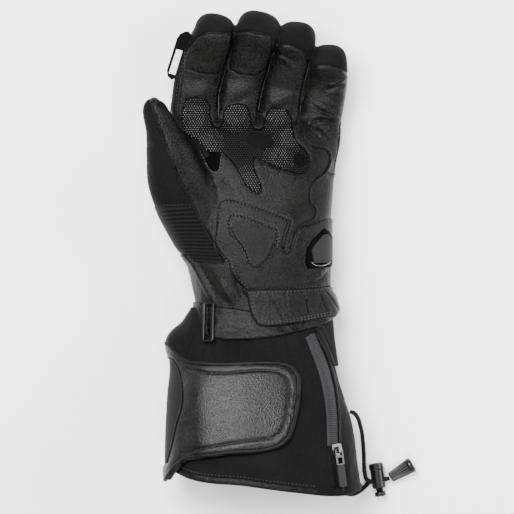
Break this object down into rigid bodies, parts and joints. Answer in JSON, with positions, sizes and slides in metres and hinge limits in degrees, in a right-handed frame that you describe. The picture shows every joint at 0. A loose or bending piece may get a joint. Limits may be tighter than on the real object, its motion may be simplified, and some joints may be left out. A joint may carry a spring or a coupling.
{
  "type": "heated motorcycle glove",
  "caption": "Left-hand winter motorcycle gauntlet glove, palm up: padded hand and fingers, thumb pleats, wrist strap and ring, cuff flap, cuff zip and draw cord with a spring lock.",
  "frame": {"origin": "under the middle of the glove, on the surface that its back rests on; the free draw cord and its lock are left out of the box", "axes": "+Y towards the fingertips, +Z out of the palm, +X towards the little finger"},
  "size_m": [0.187, 0.3312, 0.083],
  "materials": {
    "leather": "black cowhide, soft satin grain",
    "gloss_leather": "smooth black leather with a waxy shine",
    "grip_leather": "black leather embossed with a field of small dots",
    "back_cloth": "matte black softshell cloth",
    "ribbed_cloth": "matte black pleated cloth",
    "insert_cloth": "black cloth woven in fine diagonal ribs",
    "label_white": "plain white woven label",
    "slider_frame_plastic": "glossy black moulding",
    "slider_plastic": "dark grey moulding",
    "ring_metal": "black coated steel wire",
    "zip_tape": "dark grey coated water-resistant zip tape",
    "zip_metal": "worn nickel-plated metal",
    "lock_plastic": "black moulded plastic",
    "cord_braid": "black braided elastic cord"
  },
  "bodies": {
    "root": {"palm_leather": "leather", "index_palm_side": "leather", "middle_palm_side": "leather", "ring_palm_side": "leather", "little_palm_side": "leather", "thumb_palm_side": "leather", "heel_patch": "leather", "index_tip_pad": "leather", "middle_tip_pad": "leather", "strap_keeper": "leather", "wrist_gather": "leather", "flap_binding": "leather", "hem_binding": "leather", "wrist_strap": "gloss_leather", "cuff_flap": "gloss_leather", "grip_patch": "grip_leather", "back_cloth": "back_cloth", "index_back_side": "back_cloth", "middle_back_side": "back_cloth", "ring_back_side": "back_cloth", "little_back_side": "back_cloth", "thumb_back_side": "back_cloth", "gauntlet_cuff": "back_cloth", "thumb_gusset": "back_cloth", "finger_tab": "back_cloth", "thumb_pleats": "ribbed_cloth", "heel_insert": "insert_cloth", "tab_label": "label_white", "slider_frame": "slider_frame_plastic", "palm_slider": "slider_plastic", "strap_ring": "ring_metal", "zip_tape": "zip_tape", "zip_coil": "zip_tape", "zip_slider": "zip_metal", "cord_lock": "lock_plastic", "cord_end": "lock_plastic", "draw_cord_upper": "cord_braid", "draw_cord_lower": "cord_braid"},
    "zip_pull": {"zip_pull": "zip_metal", "pull_tab": "slider_plastic"},
    "lock_button": {"lock_button": "lock_plastic"}
  },
  "joints": [
    {"name": "zip_pull_hinge", "type": "hinge", "parent": "root", "child": "zip_pull", "pos_m": [0.05789, -0.13276, 0.07257], "axis": [-0.8171, -0.1003, 0.5677], "range_deg": [0, 150]},
    {"name": "lock_button_press", "type": "slide", "parent": "root", "child": "lock_button", "axis": [-0.1521, 0.9884, 0], "range_m": [0, 0.002], "stiffness_N_per_m": 400, "springref_m": -0.002}
  ]
}
